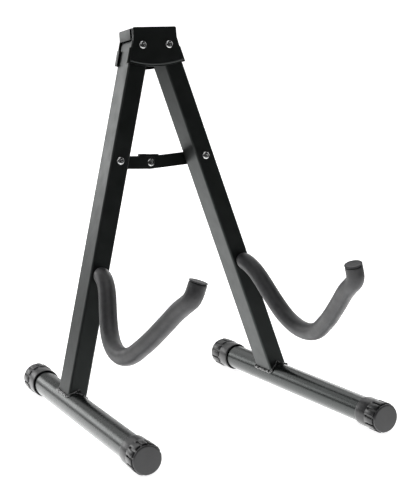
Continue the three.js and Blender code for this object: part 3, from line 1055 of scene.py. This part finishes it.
def cover_mesh():
    """The front cover's outer skin, with rounded top corners and a rolled foot."""
    bm = bmesh.new()
    count = 28
    rows = []
    for angle in map(math.radians, (90, 65, 40, 20, 0)):
        half = COVER_HALF_TOP - COVER_CORNER + COVER_CORNER * math.cos(angle)
        z = COVER_TOP - COVER_CORNER + COVER_CORNER * math.sin(angle)
        rows.append([(x, -COVER_FRONT, z) for x in across(half, count)])
    for z in (FLARE_TOP, 0.0, -8.0):
        share = max(0.0, FLARE_TOP - z) / (FLARE_TOP - COVER_FOOT)
        half = COVER_HALF_TOP + share * (COVER_HALF_FOOT - COVER_HALF_TOP)
        rows.append([(x, -COVER_FRONT, z) for x in across(half, count)])
    for ahead, drop in ((0.0, 0.0), (0.1, 0.45), (0.35, 0.85), (0.75, 1.1)):
        rows.append([(x, -COVER_FRONT - ahead * COVER_ROLL,
                      foot_curve(x, COVER_HALF_FOOT, COVER_FOOT, COVER_SAG)
                      + 0.9 - drop * COVER_ROLL)
                     for x in across(COVER_HALF_FOOT, count)])
    grid(bm, rows)
    face_outwards(bm, Vector((0, -1, 0)))
    return bm


# ---- lock links --------------------------------------------------------------


def slab(outline, front, thickness):
    """A plate from an (x, z) outline, from front back by its thickness."""
    return loft([[(x, -front, z) for x, z in outline],
                 [(x, -front + thickness, z) for x, z in outline]])


def link_outline():
    """A link's side view, from the bolt at its origin to the rivet."""
    return (arc((LINK_LENGTH, 0), LINK_HALF_HEIGHT, -90, 90, 24)
            + arc((0, 0), LINK_HALF_HEIGHT, 90, 270, 24))


STOP_REACH = 13.0
STOP_FOLD = 6.0
STOP_ROOT = 10.5
STOP_FOOT = 3.0
STOP_STRIP = 2.0


def stop_outline(reach, root, low, high):
    """The stop's side view, lined up with the other link when the lock is shut."""
    corners = [(root, low), (reach, low), (reach, high), (root, high)]
    turn = Matrix.Rotation(2 * LINK_SAG, 2)
    return [tuple(turn @ Vector(corner) + Vector((LINK_LENGTH, 0))) for corner in corners]


def united(name, base, *others):
    """Joins closed shells into one with exact booleans."""
    whole = loose_object(name, base)
    tools = []
    for i, other in enumerate(others):
        tool = loose_object(f"{name}_tool_{i}", other)
        modifier = whole.modifiers.new(f"join_{i}", "BOOLEAN")
        modifier.operation = "UNION"
        modifier.solver = "EXACT"
        modifier.object = tool
        tools.append(tool)
    piece = plain_mesh(whole, name)
    for tool in tools:
        bpy.data.objects.remove(tool)
    return piece


def add_links():
    """The two lock links. The right one's stop folds over the left one's edge."""
    left_place = HEAD @ shifted(-BOLT_X, 0.0, BOLT_Z) @ turned(LINK_SAG, "Y")
    left = finish_piece("left_lock_link", slab(link_outline(), -FRONT_LAYER, LINK_THICKNESS),
                        left_place, PAINT, "left_link", "left_lock_link")
    bevel(left, 0.35)
    low = LINK_HALF_HEIGHT + GAP
    high = low + STOP_STRIP
    ear = slab(stop_outline(STOP_REACH, -STOP_ROOT, STOP_FOOT, high), -REAR_LAYER,
               LINK_THICKNESS)
    fold = slab(stop_outline(STOP_REACH, STOP_FOLD, low, high), -FRONT_LAYER,
                REAR_LAYER - FRONT_LAYER + LINK_THICKNESS)
    right = united("right_lock_link", slab(link_outline(), -REAR_LAYER, LINK_THICKNESS),
                   ear, fold)
    mirror = Matrix.Diagonal((-1, 1, 1, 1))
    right.data.transform(HEAD @ shifted(BOLT_X, 0.0, BOLT_Z) @ turned(-LINK_SAG, "Y") @ mirror)
    right.data.flip_normals()
    dress(right, PAINT, "right_link", "right_lock_link")
    bevel(right, 0.3)


# ---- making the stand --------------------------------------------------------


def add_leg(side):
    """One side of the stand: leg, weld, base tube with its caps, arm and bolt."""
    body = f"{side}_leg"
    finish_piece(f"{side}_leg_tube", leg_mesh(), LEG[side], PAINT, body, f"{side}_leg")
    finish_piece(f"{side}_weld_bead", weld_mesh(), LEG[side], WELD_PAINT, body,
                 f"{side}_foot_weld", sharp=70.0)
    finish_piece(f"{side}_floor_tube", base_tube_mesh(), BASE[side], ENAMEL, body,
                 f"{side}_base_tube")
    add_cap(side, "front")
    add_cap(side, "rear")
    finish_piece(f"{side}_rod", rod_mesh(side), LEG[side], PAINT, body, f"{side}_arm_rod")
    sleeve = finish_piece(f"{side}_foam_sleeve", foam_mesh(side), LEG[side], FOAM, body,
                          f"{side}_arm_foam", sharp=80.0)
    finish_piece(f"{side}_end_plug", plug_mesh(), plug_place(side), PLUG, body,
                 f"{side}_arm_plug")
    add_link_bolt(side, body)
    dress_bushes(side)


def add_link_bolt(side, body):
    """The bolt through leg and link, with a nut, a washer and, on the right, a spacer."""
    seat = LEG_FRONT + HEAD_SEAT
    layer = REAR_LAYER if side == "right" else FRONT_LAYER
    nut = layer + LINK_THICKNESS + GAP
    at_bolt = LEG[side] @ shifted(z=-LINK_DROP)
    finish_piece(f"{side}_bolt", screw_mesh(seat + nut + NUT_HEIGHT + PAST_NUT),
                 at_bolt @ shifted(front=seat), ZINC, body, f"{side}_link_bolt")
    finish_piece(f"{side}_bolt_nut", nut_mesh(), at_bolt @ shifted(front=-nut), ZINC, body,
                 f"{side}_link_nut")
    finish_piece(f"{side}_bolt_washer", washer_mesh(WASHER_THICKNESS),
                 at_bolt @ shifted(front=-LEG_FRONT - GAP), NYLON, body,
                 f"{side}_link_washer")
    if side == "right":
        finish_piece("right_bolt_spacer", washer_mesh(LINK_THICKNESS),
                     at_bolt @ shifted(front=-FRONT_LAYER), STEEL, body,
                     "right_link_spacer")


def dress_bushes(side):
    """Puts steel on the two bushes, which stay as the CAD model has them."""
    for bush in ("hinge", "link"):
        materials = frame["nodes"][f"{side}_{bush}_bush"].data.materials
        materials.clear()
        materials.append(STEEL)


def add_head():
    """The hinge: bracket, front cover, and a screw and nut at each pivot."""
    bracket = finish_piece("bracket_channel", bracket_mesh(), HEAD, PAINT, "head",
                           "hinge_bracket", sharp=50.0)
    thicken(bracket)
    bevel(bracket, 0.22, angle=50.0)
    cover = finish_piece("front_cover", cover_mesh(), HEAD, PAINT, "head",
                         "hinge_front_cover", sharp=50.0)
    thicken(cover)
    bevel(cover, 0.25, angle=50.0)
    seat = COVER_FRONT + HEAD_SEAT
    nut = WALL_OUTSIDE + GAP
    for side, x in (("left", -PIVOT_SPACING / 2), ("right", PIVOT_SPACING / 2)):
        finish_piece(f"{side}_pivot_screw", screw_mesh(seat + nut + NUT_HEIGHT + PAST_NUT),
                     HEAD @ shifted(x, seat), ZINC, "head", f"{side}_hinge_screw")
        finish_piece(f"{side}_pivot_nut", nut_mesh(), HEAD @ shifted(x, -nut), ZINC, "head",
                     f"{side}_hinge_nut")


def add_rivet():
    """The centre rivet: a head through the left link and a tail in the right."""
    middle = HEAD @ shifted(0.0, -FRONT_LAYER + HEAD_SEAT, MIDDLE_Z)
    head = socket_head(RIVET_HEAD)
    head += round_rings((SHANK_RADIUS, HEAD_SEAT), (SHANK_RADIUS, LINK_THICKNESS + 0.15))
    finish_piece("rivet_head", loft(head), middle, ZINC, "left_link",
                 "lock_rivet_head")
    tail = [(0.2, -LINK_THICKNESS - 0.1), (SHANK_RADIUS, -LINK_THICKNESS - 0.1),
            (SHANK_RADIUS, 0.0), (3.5, 0.0), (3.6, 0.15)]
    tail += [(0.2 + 3.3 * math.cos(a), 0.2 + 1.2 * math.sin(a))
             for a in map(math.radians, (12, 26, 40, 54, 68, 82))]
    tail.append((0.2, 1.4))
    finish_piece("rivet_tail", lathe(tail),
                 HEAD @ shifted(0.0, -REAR_LAYER - LINK_THICKNESS, MIDDLE_Z), ZINC,
                 "right_link", "lock_rivet_tail")


# ---- stage -------------------------------------------------------------------


FLOOR_GLOW = 0.85
POOL_GLOW = 2.2
POOL_CENTRE = (0.0, 0.2, 0.0)
POOL_RADIUS = (0.3, 1.2)
FAR_GLOW = 0.12
WALL_LOW = {"heights": (0.02, 0.35, 0.8, 1.3), "glow": 0.9}
WALL_HIGH = {"heights": (1.5, 2.6, 5.0, 6.0), "glow": 1.5}
BACKDROP_RADIUS = 6.8
BACKDROP_HEIGHTS = (-2.0, 3.0, 9.0)
WHITE = (1.0, 1.0, 1.0, 1.0)
SOFTBOXES = {
    "top_softbox": ((0.0, 0.0, 1.8), (1.2, 1.2), 7.0),
    "front_top_softbox": ((-0.6, -1.4, 1.7), (1.0, 0.8), 4.0),
    "left_softbox": ((-2.0, 0.1, 0.8), (1.2, 1.4), 7.0),
    "right_softbox": ((2.0, -0.1, 0.8), (1.2, 1.4), 2.5),
    "right_rim_softbox": ((1.7, 1.7, 0.8), (1.0, 1.4), 7.0),
    "left_rim_softbox": ((-1.0, 2.0, 0.58), (1.2, 0.5), 6.5)}


def sweep_mesh():
    """A floor that curves up behind into a wall, square to the camera."""
    section = [(-6.0, 0.0), (-3.0, 0.0), (0.0, 0.0), (2.0, 0.0)]
    section += [(2.0 + 1.2 * math.sin(a), 1.2 - 1.2 * math.cos(a))
                for a in map(math.radians, range(10, 100, 10))]
    section.append((3.2, 6.0))
    turn = Matrix.Rotation(-EYE_TURN, 4, "Z")
    bm = bmesh.new()
    grid(bm, [[turn @ Vector((x, y, z)) for x in (-7.0, -2.0, 2.0, 7.0)] for y, z in section])
    return bm


def hide_from(thing, *rays):
    """Hides a thing from these kinds of ray."""
    for ray in rays:
        setattr(thing, f"visible_{ray}", False)


def add_floor():
    """The pale floor, which curves up into a wall behind the stand."""
    shade = Shade("pale_floor", Roughness=0.9, Specular_IOR_Level=0.1,
                  Emission_Color=WHITE, Emission_Strength=FLOOR_GLOW)
    shade.colour(shade.noise(3.0), (0.9, 0.9, 0.9), (0.92, 0.92, 0.92))
    floor = loose_object("floor", sweep_mesh())
    floor.data.shade_smooth()
    floor.data.materials.append(shade.material)
    hide_from(floor, "glossy")


def add_backdrop():
    """A white wall far round the stand, seen only by the camera."""
    shade = Shade("white_backdrop", Roughness=1.0, Emission_Color=WHITE, Emission_Strength=1.0)
    bm = bmesh.new()
    corners = arc((0.0, 0.0), BACKDROP_RADIUS, 0, 360, 32)
    grid(bm, [[(x, y, z) for x, y in corners] for z in BACKDROP_HEIGHTS])
    wall = loose_object("backdrop", bm)
    wall.data.materials.append(shade.material)
    hide_from(wall, "diffuse", "glossy", "transmission", "shadow")


def add_reflector():
    """A card seen only in reflections: a bright pool round the stand, a dim
    floor beyond it, and a bright wall behind."""
    shade = Shade("reflector", Roughness=1.0, Emission_Color=WHITE,
                  Base_Color=(0.0, 0.0, 0.0, 1.0))
    split = shade.node("ShaderNodeSeparateXYZ", {"Vector": shade.place})
    flat = shade.node("ShaderNodeCombineXYZ", {"X": split.outputs["X"], "Y": split.outputs["Y"]})
    radius = shade.node("ShaderNodeVectorMath", {0: flat.outputs[0], 1: POOL_CENTRE},
                        operation="DISTANCE")
    glow = shade.fade(radius.outputs["Value"], *POOL_RADIUS, POOL_GLOW, FAR_GLOW)
    for band in (WALL_LOW, WALL_HIGH):
        low, full, fading, high = band["heights"]
        rise = shade.fade(split.outputs["Z"], low, full, 0.0, band["glow"])
        fall = shade.fade(split.outputs["Z"], fading, high, 1.0, 0.0)
        strip = shade.node("ShaderNodeMath", {0: rise, 1: fall}, operation="MULTIPLY")
        both = shade.node("ShaderNodeMath", {0: glow, 1: strip.outputs[0]}, operation="ADD")
        glow = both.outputs[0]
    shade.link(glow, "Emission Strength")
    card = loose_object("reflector_card", sweep_mesh())
    card.data.materials.append(shade.material)
    card.location.z = -0.02
    hide_from(card, "camera", "diffuse", "transmission", "shadow")


def area_light(name, place, size, power):
    """A softbox that faces the middle of the stand."""
    data = bpy.data.lights.new(name, "AREA")
    data.shape = "RECTANGLE"
    data.size, data.size_y = size
    data.energy = power
    lamp = linked(name, data)
    lamp.location = place
    aim = Vector((0.0, 0.0, 0.15)) - Vector(place)
    lamp.rotation_euler = aim.to_track_quat("-Z", "Y").to_euler()
    hide_from(lamp, "camera")


def add_lights():
    """Softboxes round the stand, over a faint white room."""
    world = bpy.data.worlds.new("studio")
    bpy.context.scene.world = world
    world.use_nodes = True
    background = world.node_tree.nodes["Background"]
    background.inputs["Color"].default_value = WHITE
    background.inputs["Strength"].default_value = 0.03
    bpy.context.scene.view_settings.view_transform = "Standard"
    for name, (place, size, power) in SOFTBOXES.items():
        area_light(name, place, size, power)


make_camera()
add_floor()
add_backdrop()
add_reflector()
add_lights()
for each_side in ("left", "right"):
    add_leg(each_side)
add_head()
add_links()
add_rivet()
